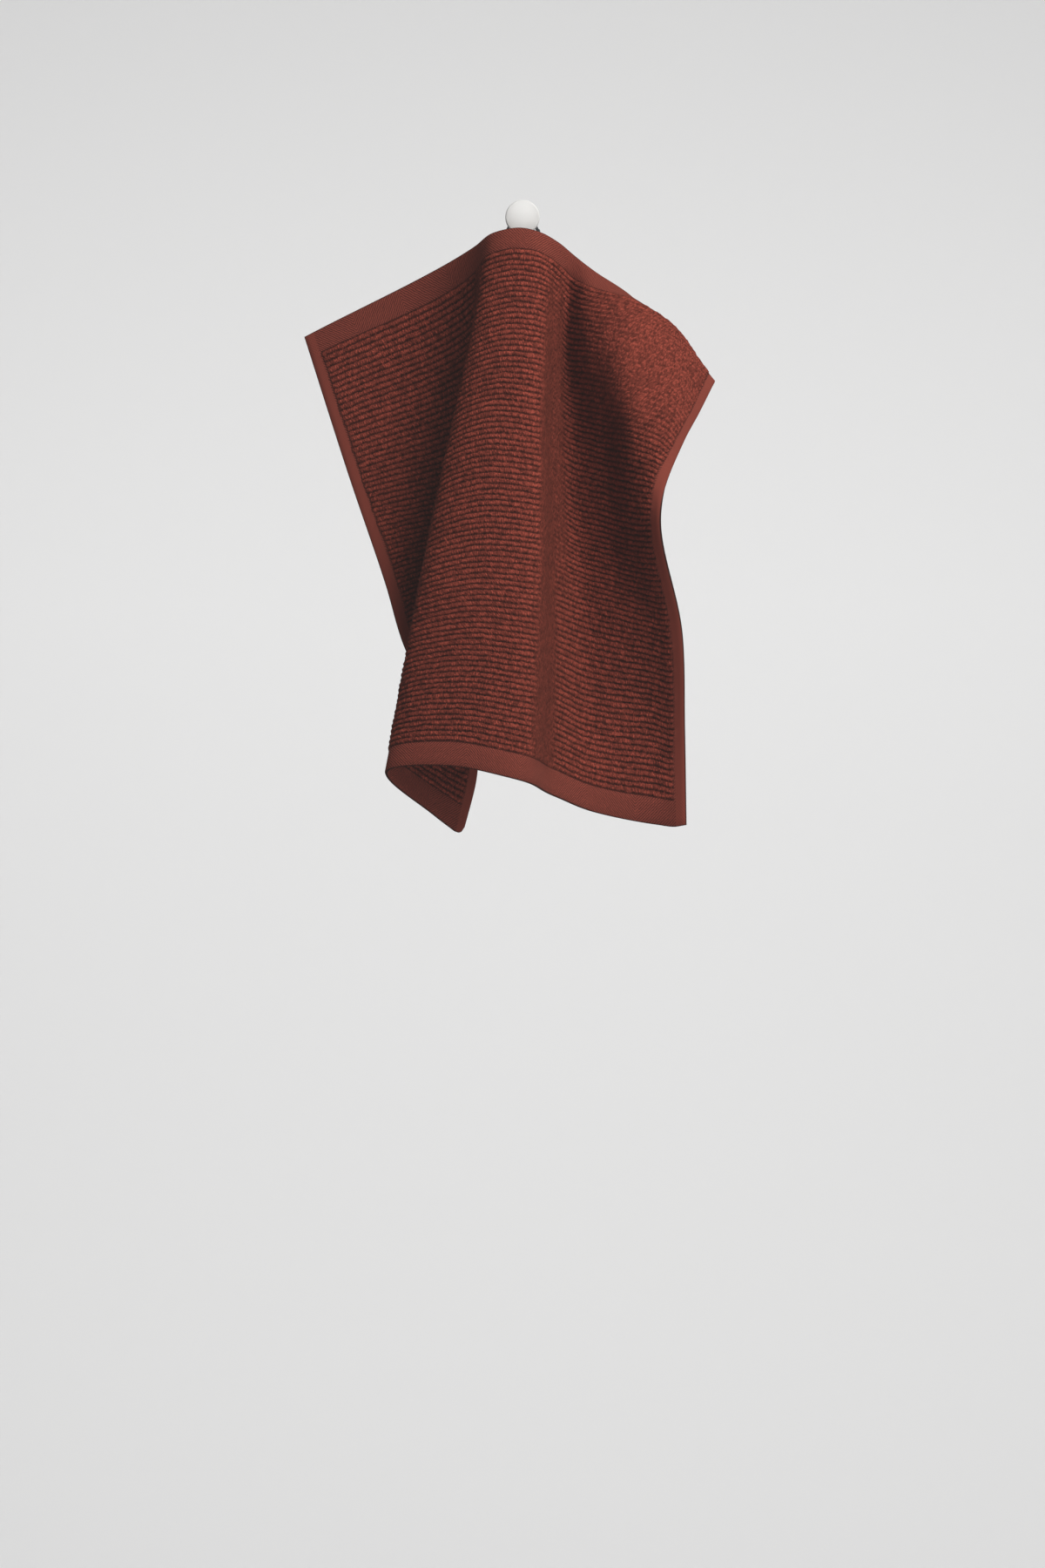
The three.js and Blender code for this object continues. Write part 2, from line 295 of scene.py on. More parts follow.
class Colours(PropertyGroup):
    """Colours of the pieces."""

    pile: FloatVectorProperty(name="Pile", description="Lit tops of the terry loops",
                              subtype="COLOR", size=4, min=0, max=1, default=linear("#984537"))
    # The grooves' colour is the ground cloth darkened with painted shade.
    shaded_groove: FloatVectorProperty(name="Groove", description="Ground cloth between the ribs",
                                subtype="COLOR", size=4, min=0, max=1, default=linear("#471f19"))
    hem: FloatVectorProperty(name="Hem", description="Flat woven hems",
                             subtype="COLOR", size=4, min=0, max=1, default=linear("#95483b"))
    hem_shade: FloatVectorProperty(name="Hem shade", description="Between the hem's yarns",
                                   subtype="COLOR", size=4, min=0, max=1,
                                   default=linear("#5f2c25"))
    # The rim colour also paints the shade at the step from hem to pile.
    rim: FloatVectorProperty(name="Rim", description="The dark line of the folded edges",
                             subtype="COLOR", size=4, min=0, max=1, default=linear("#2c1513"))
    cord: FloatVectorProperty(name="Cord", description="The hanging loop",
                              subtype="COLOR", size=4, min=0, max=1, default=linear("#1b1b24"))
    paint: FloatVectorProperty(name="Paint", description="The hook's white paint",
                               subtype="COLOR", size=4, min=0, max=1, default=linear("#eeeeec"))
    studio: FloatVectorProperty(name="Studio", description="Floor and backdrop",
                                subtype="COLOR", size=4, min=0, max=1, default=linear("#e9e9e9"))


# The middle surface of the cloth.


def smooth(stations, values, at):
    """A smooth curve through values given at uneven stations, read at many places."""
    steps = np.diff(stations)
    rises = np.diff(values, axis=0) / steps[:, None]
    slopes = np.empty_like(values)
    slopes[0] = rises[0]
    slopes[-1] = rises[-1]
    weight = (steps[:-1] / (steps[:-1] + steps[1:]))[:, None]
    slopes[1:-1] = rises[:-1] * (1 - weight) + rises[1:] * weight
    i = np.clip(np.searchsorted(stations, at, side="left") - 1, 0, len(stations) - 2)
    span = steps[i][:, None]
    f = ((at - stations[i]) / steps[i])[:, None]
    return (
        (2 * f**3 - 3 * f**2 + 1) * values[i]
        + (f**3 - 2 * f**2 + f) * span * slopes[i]
        + (3 * f**2 - 2 * f**3) * values[i + 1]
        + (f**3 - f**2) * span * slopes[i + 1]
    )


def running_length(points):
    return np.concatenate([[0.0], np.cumsum(np.linalg.norm(np.diff(points, axis=0), axis=1))])


def cloth_rows(downs, stops):
    """Points of the middle surface, in metres: one row for each distance down the cloth, with a
    point at each stop, a share of the row's width."""
    knots = []
    for _, rows in FOLD_LINES:
        table = np.array(rows, dtype=float)
        places = np.stack([table[:, 1], -table[:, 2], table[:, 3]], axis=1)
        knots.append(smooth(table[:, 0], places, downs / MM))
    knots = np.array(knots)
    surface = np.empty((len(downs), len(stops), 3))
    for row in range(len(downs)):
        line = knots[:, row]
        chord = running_length(line)
        spans = [
            np.linspace(chord[i], chord[i + 1], CURVE_STEPS, endpoint=False)
            for i in range(len(line) - 1)
        ]
        fine = smooth(chord, line, np.concatenate([*spans, chord[-1:]]))
        lengths = running_length(fine)
        for axis in range(3):
            surface[row, :, axis] = np.interp(stops * lengths[-1], lengths, fine[:, axis])
    return surface * MM


def grid_normals(surface):
    """The way each point of a grid of rows faces, toward the front of the cloth."""
    across = np.empty_like(surface)
    across[:, 1:-1] = surface[:, 2:] - surface[:, :-2]
    across[:, 0] = surface[:, 1] - surface[:, 0]
    across[:, -1] = surface[:, -1] - surface[:, -2]
    fall = np.empty_like(surface)
    fall[1:-1] = surface[2:] - surface[:-2]
    fall[0] = surface[1] - surface[0]
    fall[-1] = surface[-1] - surface[-2]
    front = np.cross(fall, across)
    return front / np.linalg.norm(front, axis=2, keepdims=True)


def uneven(chance, shape, passes):
    """Random heights about one unit high, evened out along each row."""
    values = chance.normal(0.0, 1.0, shape)
    for _ in range(passes):
        values = (np.roll(values, 1, 1) + values + np.roll(values, -1, 1)) / 3
    return values / values.std()


# Meshes and objects.


def put_in_scene(bm, name, material, node):
    """Make an object of a finished bmesh and stand it in for a CAD node."""
    mesh = bpy.data.meshes.new(name)
    bm.to_mesh(mesh)
    bm.free()
    mesh.materials.append(material)
    mesh.shade_smooth()
    obj = bpy.data.objects.new(name, mesh)
    bpy.context.scene.collection.objects.link(obj)
    if node:
        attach(obj, "root")
        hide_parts(node)
    return obj


def add_node(tree, kind, settings=None, links=None):
    """Add a node with its settings, and link each named input to another node's output.

    A setting whose name is an input's sets that input, and any other is an attribute."""
    node = tree.nodes.new(kind)
    for name, value in (settings or {}).items():
        if hasattr(node, str(name)):
            setattr(node, name, value)
    for name, value in (settings or {}).items():
        if not hasattr(node, str(name)):
            node.inputs[name].default_value = value
    for name, output in (links or {}).items():
        tree.links.new(output, node.inputs[name])
    return node


def new_material(name):
    material = bpy.data.materials.new(name)
    material.use_nodes = True
    material.node_tree.nodes.clear()
    return material, material.node_tree


def wave(tree, distance, pitch):
    """A sine wave over a distance, from -1 to 1."""
    phase = add_node(tree, "ShaderNodeMath", {"operation": "MULTIPLY", 1: 2 * math.pi / pitch},
                     {0: distance})
    return add_node(tree, "ShaderNodeMath", {"operation": "SINE"},
                    {0: phase.outputs["Value"]}).outputs["Value"]


def weave(tree, split, pitch):
    """A plain weave: waves across and down that take turns on top."""
    return add_node(tree, "ShaderNodeMath", {"operation": "MULTIPLY"},
                    {0: wave(tree, split.outputs["X"], pitch),
                     1: wave(tree, split.outputs["Y"], pitch)}).outputs["Value"]


def finish_material(tree, shader):
    add_node(tree, "ShaderNodeOutputMaterial", links={"Surface": shader.outputs["BSDF"]})


def rib_pitch(sizes):
    return (sizes.side - sizes.top_hem - sizes.bottom_hem) / sizes.rib_count


def terry_pile(tree, sizes, colours, place, moved, bare):
    """Colour and height of the ribs of terry loops."""
    # Ribs: how far from the nearest groove. The map's Y starts at the bottom edge.
    moved_split = add_node(tree, "ShaderNodeSeparateXYZ", links={"Vector": moved})
    start = add_node(tree, "ShaderNodeMath", {"operation": "SUBTRACT", 1: sizes.bottom_hem / MM},
                     {0: moved_split.outputs["Y"]})
    from_groove = add_node(tree, "ShaderNodeMath",
                           {"operation": "PINGPONG", 1: rib_pitch(sizes) / MM / 2},
                           {0: start.outputs["Value"]})
    on_rib = add_node(tree, "ShaderNodeMapRange",
                      {"interpolation_type": "SMOOTHSTEP", "From Min": 0.0,
                       "From Max": GROOVE_SHADE},
                      {"Value": from_groove.outputs["Value"]})
    # Here and there loops lean over a groove and hide it.
    lean = add_node(tree, "ShaderNodeTexNoise", {"Scale": LEAN_SCALE, "Detail": 1.0},
                    {"Vector": place})
    over = add_node(tree, "ShaderNodeMapRange",
                    {"From Min": 0.58, "From Max": 0.72, "To Min": 0.0, "To Max": 0.65},
                    {"Value": lean.outputs["Fac"]})
    hidden = add_node(tree, "ShaderNodeMath", {"operation": "MAXIMUM"},
                      {0: over.outputs["Result"], 1: bare})
    on_pile = add_node(tree, "ShaderNodeMath", {"operation": "MAXIMUM"},
                       {0: on_rib.outputs["Result"], 1: hidden.outputs["Value"]})

    # Terry loops, each its own tone, with painted shade in the gaps between.
    in_loops = add_node(tree, "ShaderNodeVectorMath",
                        {"operation": "MULTIPLY", 1: (1 / LOOP_WIDTH, 1 / LOOP_LENGTH, 1)},
                        {0: moved})
    loops = add_node(tree, "ShaderNodeTexVoronoi",
                     {"voronoi_dimensions": "2D", "feature": "F1", "Scale": 1.0},
                     {"Vector": in_loops.outputs["Vector"]})
    loop_top = add_node(tree, "ShaderNodeMapRange",
                        {"From Min": 0.68, "From Max": 0.15, "To Min": 0.0, "To Max": 1.0},
                        {"Value": loops.outputs["Distance"]})
    loop_tone = add_node(tree, "ShaderNodeSeparateColor", links={"Color": loops.outputs["Color"]})
    tone = add_node(tree, "ShaderNodeMapRange", {"To Min": 0.56, "To Max": 1.38},
                    {"Value": loop_tone.outputs["Red"]})
    fibre = add_node(tree, "ShaderNodeTexNoise",
                     {"Scale": YARN_SCALE, "Detail": 2.0, "Roughness": 0.7}, {"Vector": place})
    fibre_tone = add_node(tree, "ShaderNodeMapRange",
                          {"From Min": 0.3, "From Max": 0.7, "To Min": 0.62, "To Max": 1.42},
                          {"Value": fibre.outputs["Fac"]})
    # Between the ribs the colour goes over to the dark groove colour: painted shade in the grooves.
    colour = add_node(tree, "ShaderNodeMix",
                      {"data_type": "RGBA", 6: colours.shaded_groove, 7: colours.pile},
                      {0: on_pile.outputs["Value"]})
    gap_shade = add_node(tree, "ShaderNodeMapRange", {"To Min": 0.62, "To Max": 1.08},
                         {"Value": loop_top.outputs["Result"]})
    shade = add_node(tree, "ShaderNodeMath", {"operation": "MULTIPLY"},
                     {0: tone.outputs["Result"], 1: gap_shade.outputs["Result"]})
    fine_shade = add_node(tree, "ShaderNodeMath", {"operation": "MULTIPLY"},
                          {0: shade.outputs["Value"], 1: fibre_tone.outputs["Result"]})
    # Where the ribs close up on the flank of a fold the pile is darkened: painted shade.
    closed = add_node(tree, "ShaderNodeAttribute", {"attribute_name": "closed"})
    painted_flank_shade = add_node(tree, "ShaderNodeMapRange", {"To Min": 1.0, "To Max": 0.58},
                       {"Value": closed.outputs["Fac"]})
    pile_shade = add_node(tree, "ShaderNodeMath", {"operation": "MULTIPLY"},
                          {0: fine_shade.outputs["Value"], 1: painted_flank_shade.outputs["Result"]})
    toned = add_node(tree, "ShaderNodeVectorMath", {"operation": "SCALE"},
                     {0: colour.outputs[2], "Scale": pile_shade.outputs["Value"]})
    loop_height = add_node(tree, "ShaderNodeMath", {"operation": "MULTIPLY_ADD", 1: 0.5},
                           {0: fibre.outputs["Fac"], 2: loop_top.outputs["Result"]})
    height = add_node(tree, "ShaderNodeMath", {"operation": "MULTIPLY_ADD", 1: 1.2},
                      {0: on_pile.outputs["Value"], 2: loop_height.outputs["Value"]})
    return toned.outputs["Vector"], height.outputs["Value"]


def woven_hems(tree, sizes, colours, place, moved):
    """Colour and height of the flat hems."""
    side = sizes.side / MM
    split = add_node(tree, "ShaderNodeSeparateXYZ", links={"Vector": place})
    moved_split = add_node(tree, "ShaderNodeSeparateXYZ", links={"Vector": moved})
    # End hems: twill lines at 45 degrees.
    zigzag = add_node(tree, "ShaderNodeMath", {"operation": "PINGPONG", 1: TWILL_RUN},
                      {0: moved_split.outputs["X"]})
    slant = add_node(tree, "ShaderNodeMath", {"operation": "ADD"},
                     {0: zigzag.outputs["Value"], 1: moved_split.outputs["Y"]})
    twill = wave(tree, slant.outputs["Value"], TWILL_PITCH)
    # Side hems: plain weave, and coarser where they cross the end hems.
    from_side = add_node(tree, "ShaderNodeMath", {"operation": "PINGPONG", 1: side / 2},
                         {0: split.outputs["X"]})
    in_bottom = add_node(tree, "ShaderNodeMath",
                         {"operation": "LESS_THAN", 1: sizes.bottom_hem / MM},
                         {0: split.outputs["Y"]})
    in_top = add_node(tree, "ShaderNodeMath",
                      {"operation": "GREATER_THAN", 1: side - sizes.top_hem / MM},
                      {0: split.outputs["Y"]})
    in_side = add_node(tree, "ShaderNodeMath",
                       {"operation": "LESS_THAN", 1: sizes.side_hem / MM},
                       {0: from_side.outputs["Value"]})
    in_end = add_node(tree, "ShaderNodeMath", {"operation": "MAXIMUM"},
                      {0: in_bottom.outputs["Value"], 1: in_top.outputs["Value"]})
    plain = weave(tree, split, SIDE_WEAVE)
    coarse = weave(tree, split, CORNER_WEAVE)
    side_weave = add_node(tree, "ShaderNodeMix", {"data_type": "FLOAT"},
                          {0: in_end.outputs["Value"], 2: plain, 3: coarse})
    # The side hems are woven closer, so less shade shows between their yarns.
    close_weave = add_node(tree, "ShaderNodeMath", {"operation": "MULTIPLY_ADD", 1: 0.5, 2: 0.5},
                           {0: side_weave.outputs[0]})
    hem_weave = add_node(tree, "ShaderNodeMix", {"data_type": "FLOAT"},
                         {0: in_side.outputs["Value"], 2: twill,
                          3: close_weave.outputs["Value"]})
    thread = add_node(tree, "ShaderNodeMapRange", {"From Min": -1.0, "From Max": 1.0},
                      {"Value": hem_weave.outputs[0]})
    colour = add_node(tree, "ShaderNodeMix",
                      {"data_type": "RGBA", 6: colours.hem_shade, 7: colours.hem},
                      {0: thread.outputs["Result"]})
    height = add_node(tree, "ShaderNodeMath", {"operation": "MULTIPLY", 1: 0.45},
                      {0: thread.outputs["Result"]})
    return colour.outputs[2], height.outputs["Value"]


def terry_material(sizes, colours):
    """Piece-dyed cotton terry: loops of soft yarn in ribs, with flat woven hems.

    To the eye: a matt, slightly furry rust brown, light on the tops of the ribs and dark in the
    grooves between them, where shade is painted in, smooth where the hems are woven flat."""
    material, tree = new_material("cotton terry")
    flat = add_node(tree, "ShaderNodeUVMap", {"uv_map": "flat"})
    # The map holds shares of the cloth's side: this makes it millimetres.
    side = sizes.side / MM
    place = add_node(tree, "ShaderNodeMapping", {"Scale": (side, side, 1)},
                     {"Vector": flat.outputs["UV"]}).outputs["Vector"]
    pile = add_node(tree, "ShaderNodeAttribute", {"attribute_name": "pile"})
    rim = add_node(tree, "ShaderNodeAttribute", {"attribute_name": "rim"})
    closed = add_node(tree, "ShaderNodeAttribute", {"attribute_name": "closed"})
    flat_lit = add_node(tree, "ShaderNodeAttribute", {"attribute_name": "flat_lit"})
    # Where the ribs close up, and in the patch where the light falls head-on, the grooves' painted
    # shade is left out.
    bare = add_node(tree, "ShaderNodeMath", {"operation": "MAXIMUM"},
                    {0: closed.outputs["Fac"], 1: flat_lit.outputs["Fac"]}).outputs["Value"]

    # The loops push each other about, so the pattern is moved by a few tenths of a millimetre
    # this way and that.
    push = add_node(tree, "ShaderNodeTexNoise", {"Scale": PUSH_SCALE, "Detail": 2.0},
                    {"Vector": place})
    centred = add_node(tree, "ShaderNodeVectorMath", {"operation": "SUBTRACT", 1: (0.5, 0.5, 0.5)},
                       {0: push.outputs["Color"]})
    moved = add_node(tree, "ShaderNodeVectorMath",
                     {"operation": "MULTIPLY_ADD", 1: (PUSH, PUSH, 0)},
                     {0: centred.outputs["Vector"], 2: place}).outputs["Vector"]
    pile_colour, pile_height = terry_pile(tree, sizes, colours, place, moved, bare)
    hem_colour, hem_height = woven_hems(tree, sizes, colours, place, moved)

    # The step from hem to pile gets a dark line: painted shade where the pile rises from the hem.
    surface = add_node(tree, "ShaderNodeMix", {"data_type": "RGBA"},
                       {0: pile.outputs["Fac"], 6: hem_colour, 7: pile_colour})
    step = add_node(tree, "ShaderNodeMath", {"operation": "PINGPONG", 1: 0.5},
                    {0: pile.outputs["Fac"]})
    dark = add_node(tree, "ShaderNodeMath", {"operation": "MAXIMUM"},
                    {0: rim.outputs["Fac"], 1: step.outputs["Value"]})
    edged = add_node(tree, "ShaderNodeMix", {"data_type": "RGBA", 7: colours.rim},
                     {0: dark.outputs["Value"], 6: surface.outputs[2]})
    height = add_node(tree, "ShaderNodeMix", {"data_type": "FLOAT"},
                      {0: pile.outputs["Fac"], 2: hem_height, 3: pile_height})
    relief = add_node(tree, "ShaderNodeBump", {"Strength": 0.9, "Distance": CLOTH_RELIEF * MM},
                      {"Height": height.outputs[0]})
    shader = add_node(tree, "ShaderNodeBsdfPrincipled",
                      {"Roughness": 0.95, "Specular IOR Level": 0.05, "Sheen Weight": 0.06,
                       "Sheen Roughness": 0.7, "Sheen Tint": linear("#c8704f")},
                      {"Base Color": edged.outputs[2], "Normal": relief.outputs["Normal"]})
    finish_material(tree, shader)
    return material


def cord_material(colours):
    """Braided polyester cord: near black, with a dull shine on the plaits."""
    material, tree = new_material("braided polyester cord")
    place = add_node(tree, "ShaderNodeTexCoord")
    # A diagonal wave repeats after 2 pi / 10 at a scale of 1.
    plait = add_node(tree, "ShaderNodeTexWave",
                     {"wave_type": "BANDS", "bands_direction": "DIAGONAL",
                      "Scale": 2 * math.pi / 10 / (PLAIT_PITCH * MM), "Distortion": 1.5},
                     {"Vector": place.outputs["Object"]})
    shade = add_node(tree, "ShaderNodeMix",
                     {"data_type": "RGBA", 6: linear("#0d0d12"), 7: colours.cord},
                     {0: plait.outputs["Fac"]})
    relief = add_node(tree, "ShaderNodeBump", {"Strength": 0.6, "Distance": CORD_RELIEF * MM},
                      {"Height": plait.outputs["Fac"]})
    shader = add_node(tree, "ShaderNodeBsdfPrincipled",
                      {"Roughness": 0.7, "Sheen Weight": 0.15},
                      {"Base Color": shade.outputs[2], "Normal": relief.outputs["Normal"]})
    finish_material(tree, shader)
    return material


def paint_material(colours):
    """Powder-coated zinc: even satin white with a faint orange peel."""
    material, tree = new_material("powder-coated zinc")
    place = add_node(tree, "ShaderNodeTexCoord")
    # Orange peel, about 1.2 mm from dimple to dimple.
    peel = add_node(tree, "ShaderNodeTexNoise", {"Scale": 800.0, "Detail": 1.0},
                    {"Vector": place.outputs["Object"]})
    relief = add_node(tree, "ShaderNodeBump", {"Strength": 0.12, "Distance": PAINT_RELIEF * MM},
                      {"Height": peel.outputs["Fac"]})
    cloud = add_node(tree, "ShaderNodeTexNoise", {"Scale": 120.0, "Detail": 2.0},
                     {"Vector": place.outputs["Object"]})
    shade = add_node(tree, "ShaderNodeMix",
                     {"data_type": "RGBA", 6: linear("#e4e4e2"), 7: colours.paint},
                     {0: cloud.outputs["Fac"]})
    shader = add_node(tree, "ShaderNodeBsdfPrincipled",
                      {"Roughness": 0.38, "IOR": 1.5},
                      {"Base Color": shade.outputs[2], "Normal": relief.outputs["Normal"]})
    finish_material(tree, shader)
    return material


def studio_material(colours):
    """Matt emulsion: the plain pale floor and backdrop."""
    material, tree = new_material("matt emulsion")
    shader = add_node(tree, "ShaderNodeBsdfPrincipled",
                      {"Roughness": 0.9, "Specular IOR Level": 0.2, "Base Color": colours.studio})
    finish_material(tree, shader)
    return material


def row_plan(sizes):
    """Every row of the fine cloth: how far down, its rib's number or -1, and its height."""
    pitch = rib_pitch(sizes)
    top = sizes.top_hem
    bottom = sizes.bottom_hem
    rows = [(share * top, -1, 0.0) for share in HEM_ROWS]
    for number in range(sizes.rib_count):
        rows += [(top + (number + at) * pitch, number, high) for at, high in RIB_PROFILE]
    rows.append((sizes.side - bottom, sizes.rib_count - 1, 0.0))
    rows += [(sizes.side - share * bottom, -1, 0.0) for share in reversed(HEM_ROWS)]
    return rows


def column_plan(sizes):
    """Every column of the fine cloth, in metres from the left edge."""
    edge = np.array(EDGE_COLUMNS) * MM
    inner = np.linspace(FIRST_EVEN * MM, sizes.side - FIRST_EVEN * MM,
                        sizes.columns + 1 - 2 * len(edge))
    return np.concatenate([edge, inner, (sizes.side - edge)[::-1]])


def closed_and_shaded_ribs(normals):
    """How far the ribs are closed, and their pile darkened with painted shade, from 0 to 1, for
    each point of the cloth.
    """
    return np.clip((np.abs(normals[:, :, 0]) - CLOSES_FROM) / CLOSES_OVER, 0, 1)


def flat_lit_pile(downs, across):
    """How far the grooves fill up and their painted shade is left out, where the light falls
    head-on, from 0 to 1, for each point of the cloth.
    """
    moved = (across[None, :] - FLAT_LIT_SLANT * (downs[:, None] - FLAT_LIT_DOWN * MM)) / MM
    return np.exp(-((moved - FLAT_LIT_ACROSS) / FLAT_LIT_REACH) ** 4
                  - ((downs[:, None] / MM - FLAT_LIT_DOWN) / FLAT_LIT_REACH) ** 4)


def worn_corner(sizes, downs, across, right, fall):
    """How far each point moves so that the square at the lower left corner becomes a quarter of
    a disc."""
    none = np.zeros((len(downs), len(across)))
    inward = (CORNER_RADIUS - across).clip(0)[None, :] + none
    upward = (CORNER_RADIUS - (sizes.side - downs)).clip(0)[:, None] + none
    square = np.maximum(inward, upward)
    # The small number only keeps the middle of the cloth from a division by zero.
    pull = 1 - square / np.maximum(np.hypot(inward, upward), square + 1e-9)
    return (inward * pull)[:, :, None] * right - (upward * pull)[:, :, None] * fall


def unit(vectors):
    return vectors / np.linalg.norm(vectors, axis=2, keepdims=True)


def two_sided_sheet(front_points, back_points):
    """A closed sheet through two grids of points, and the row and column of each vertex."""
    rows, columns = front_points.shape[:2]
    bm = bmesh.new()
    bmesh.ops.create_grid(bm, x_segments=columns - 1, y_segments=rows - 1, size=1.0)
    sheet = list(bm.verts)
    thick = bmesh.ops.extrude_face_region(bm, geom=bm.faces[:], use_keep_orig=True)
    outer = [v for v in thick["geom"] if isinstance(v, bmesh.types.BMVert)]
    place = {}
    for verts, points in ((sheet, back_points), (outer, front_points)):
        for vert in verts:
            column = round((vert.co.x + 1) / 2 * (columns - 1))
            row = round((1 - vert.co.y) / 2 * (rows - 1))
            place[vert] = (row, column)
            vert.co = points[row, column]
    bmesh.ops.recalc_face_normals(bm, faces=bm.faces[:])
    return bm, np.array([place[vert] for vert in bm.verts])


class WASHCLOTH_OT_cloth(Operator):
    """Drape the ribbed cloth with its hems"""

    bl_idname = "washcloth.cloth"
    bl_label = "Cloth"

    def execute(self, context):
        sizes = context.scene.washcloth_cloth
        plan = row_plan(sizes)
        downs = np.array([row[0] for row in plan])
        numbers = np.array([row[1] for row in plan])
        highs = np.array([row[2] for row in plan])
        across = column_plan(sizes)
        stops = across / sizes.side
        surface = cloth_rows(downs, stops)
        normals = grid_normals(surface)
        fall = unit(np.gradient(surface, axis=0))
        right = unit(np.gradient(surface, axis=1))

        # Loops are uneven: the ribs wander, are leaned over their grooves and stop unevenly.
        chance = np.random.default_rng(PILE_SEED)
        shape = (len(downs), len(stops))
        loops = uneven(chance, shape, 1)
        wander = SLOW_BENDS * MM * uneven(chance, shape, 3)
        wander = wander + QUICK_BENDS * MM * uneven(chance, shape, 1)
        lean = LEANING * MM * uneven(chance, shape, 1).clip(0, TALLEST_LEAN)
        ends = chance.uniform(0.0, RAGGED_END * MM, (2, sizes.rib_count))
        closed = closed_and_shaded_ribs(normals)
        flat_lit = flat_lit_pile(downs, across)

        # The pile starts past the side hems, and the rims of all the hems are rounded.
        from_side = np.minimum(across, sizes.side - across)[None, :]
        from_end = np.minimum(downs, sizes.side - downs)[:, None]
        left = (across < sizes.side / 2)[None, :]
        end = np.where(left, ends[0][numbers][:, None], ends[1][numbers][:, None])
        pile = np.clip((from_side - sizes.side_hem - end) / (END_SLOPE * MM), 0, 1)
        pile = pile * (numbers >= 0)[:, None]
        rise = highs[:, None] * pile
        rounding = np.minimum(np.clip(from_side / (SIDE_RIM * MM), 0, 1),
                              np.clip(from_end / (END_RIM * MM), 0, 1))

        hem_high = sizes.hem_face * (RIM_SHARE + (1 - RIM_SHARE) * rounding)
        top = sizes.rib_face + LOOP_RISE * MM * loops
        filled = MM * np.maximum(CLOSED_FILL * closed, FLAT_LIT_FILL * flat_lit)
        low = sizes.groove_face + lean + filled
        front = hem_high * (1 - pile) + pile * (low * (1 - rise) + top * rise)
        drift = (wander * pile)[:, :, None] * fall
        drift = drift + worn_corner(sizes, downs, across, right, fall)
        front_points = surface + normals * front[:, :, None] + drift
        back_points = surface - normals * (front * BACK_SHARE)[:, :, None] + drift

        bm, where = two_sided_sheet(front_points, back_points)
        obj = put_in_scene(bm, "washcloth", terry_material(sizes, context.scene.washcloth_colours),
                           "cloth")
        mesh = obj.data
        flat = np.stack([stops[where[:, 1]], 1 - downs[where[:, 0]] / sizes.side], axis=1)
        corner = np.empty(len(mesh.loops), dtype=np.int32)
        mesh.loops.foreach_get("vertex_index", corner)
        layer = mesh.uv_layers.new(name="flat")
        layer.data.foreach_set("uv", flat[corner].astype(np.float32).ravel())
        # These facts carry painted shade too: where the ribs close the pile is darkened, and in the
        # patch by the top hem's right corner the grooves' painted shade is left out.
        facts = {"pile": pile, "closed": closed, "flat_lit": FLAT_LIT_SHOWS * flat_lit,
                 "rim": 1 - rounding}
        for name, values in facts.items():
            at_verts = values[where[:, 0], where[:, 1]]
            layer = mesh.attributes.new(name, "FLOAT", "POINT")
            layer.data.foreach_set("value", at_verts.astype(np.float32))
        return {"FINISHED"}


def loop_path(cloth, hook):
    """The route of the cord: up behind the hem, under the disc's rim and over the neck."""
    gap = cloth.hem_face + LEG_GAP * MM + hook.cord_radius
    half = LEG_HALF_GAP * MM
    downs = np.array(LEG_PLACES) * MM
    stops = np.linspace(*SEARCH)
    surface = cloth_rows(downs, stops)
    behind = (surface - grid_normals(surface) * gap)[::-1]
    front = hook.disc_front
    back = front - hook.disc_thickness
    legs = []
    for side in (-1, 1):
        leg = []
        for row in behind:
            leg.append(Vector(row[np.argmin(np.abs(row[:, 0] - side * half))]))
        # On from the hem: before the face, under its rim, behind it, and to the neck's side.
        leg += [
            Vector((side * half, -(front + 3 * MM), -8.6 * MM)),
            Vector((side * (half + 0.1 * MM), -(front - 1 * MM), -7.4 * MM)),
            Vector((side * (half - 0.9 * MM), -(back - 3 * MM), -5.2 * MM)),
            Vector((side * 6 * MM, -27.5 * MM, -0.6 * MM)),
            Vector((side * 4.2 * MM, -26.6 * MM, 3 * MM)),
        ]
        legs.append(leg)
    top = Vector((0, -CORD_OVER_NECK * MM,
                  hook.neck_radius + CORD_GAP * MM + hook.cord_radius))
    return [*legs[0], top, *reversed(legs[1])]


def rounded(points, steps):
    """A smooth path through a few points, as many steps between each two."""
    knots = np.array([tuple(p) for p in points])
    chord = running_length(knots)
    at = np.concatenate([
        np.linspace(chord[i], chord[i + 1], steps, endpoint=False) for i in range(len(knots) - 1)
    ] + [chord[-1:]])
    return [Vector(p) for p in smooth(chord, knots, at)]


